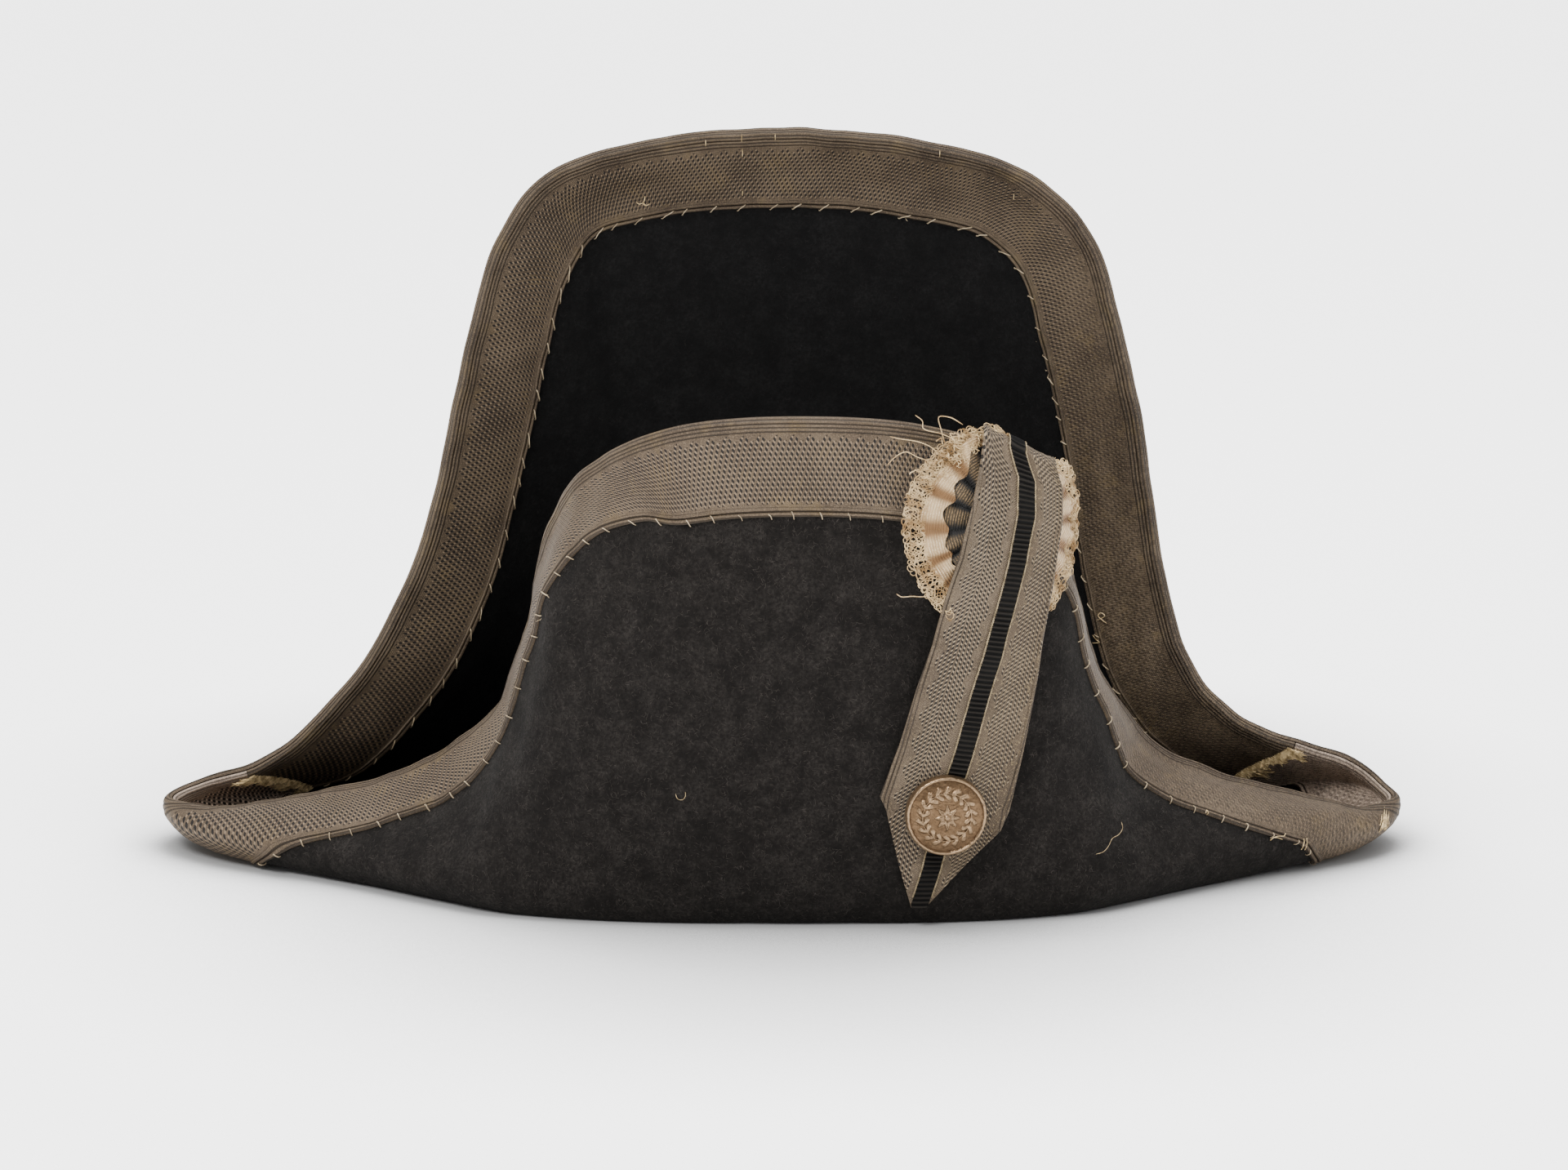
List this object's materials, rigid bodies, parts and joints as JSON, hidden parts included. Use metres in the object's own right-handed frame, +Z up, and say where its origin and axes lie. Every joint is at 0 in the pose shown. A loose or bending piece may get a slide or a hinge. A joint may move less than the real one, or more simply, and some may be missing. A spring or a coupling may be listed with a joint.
{
  "type": "bicorne hat",
  "caption": "Felt bicorne hat with the brim turned up front and back, metal lace edging, pleated cockade, pointed loop and domed button",
  "frame": {"origin": "middle of the bottom of the bounding box", "axes": "+X to the wearer's left along the hat's length, +Y to the back flap, +Z up"},
  "size_m": [0.4572, 0.2263, 0.2585],
  "materials": {
    "felt": "matt black felt with a short nap",
    "lace": "tarnished metal lace, dull sheen",
    "cockade_lace": "cream cotton lace, aged",
    "cockade_fan": "dark olive-brown pleated ribbon with gold threads",
    "ribbon": "black corded ribbon",
    "button": "worn gilt copper"
  },
  "bodies": {
    "root": {"felt_body": "felt", "lace_front_outer": "lace", "lace_front_inner": "lace", "lace_back_outer": "lace", "lace_back_inner": "lace", "cockade_lace": "cockade_lace", "cockade_fan": "cockade_fan", "loop_lace": "lace", "loop_ribbon": "ribbon", "button": "button"}
  },
  "joints": []
}
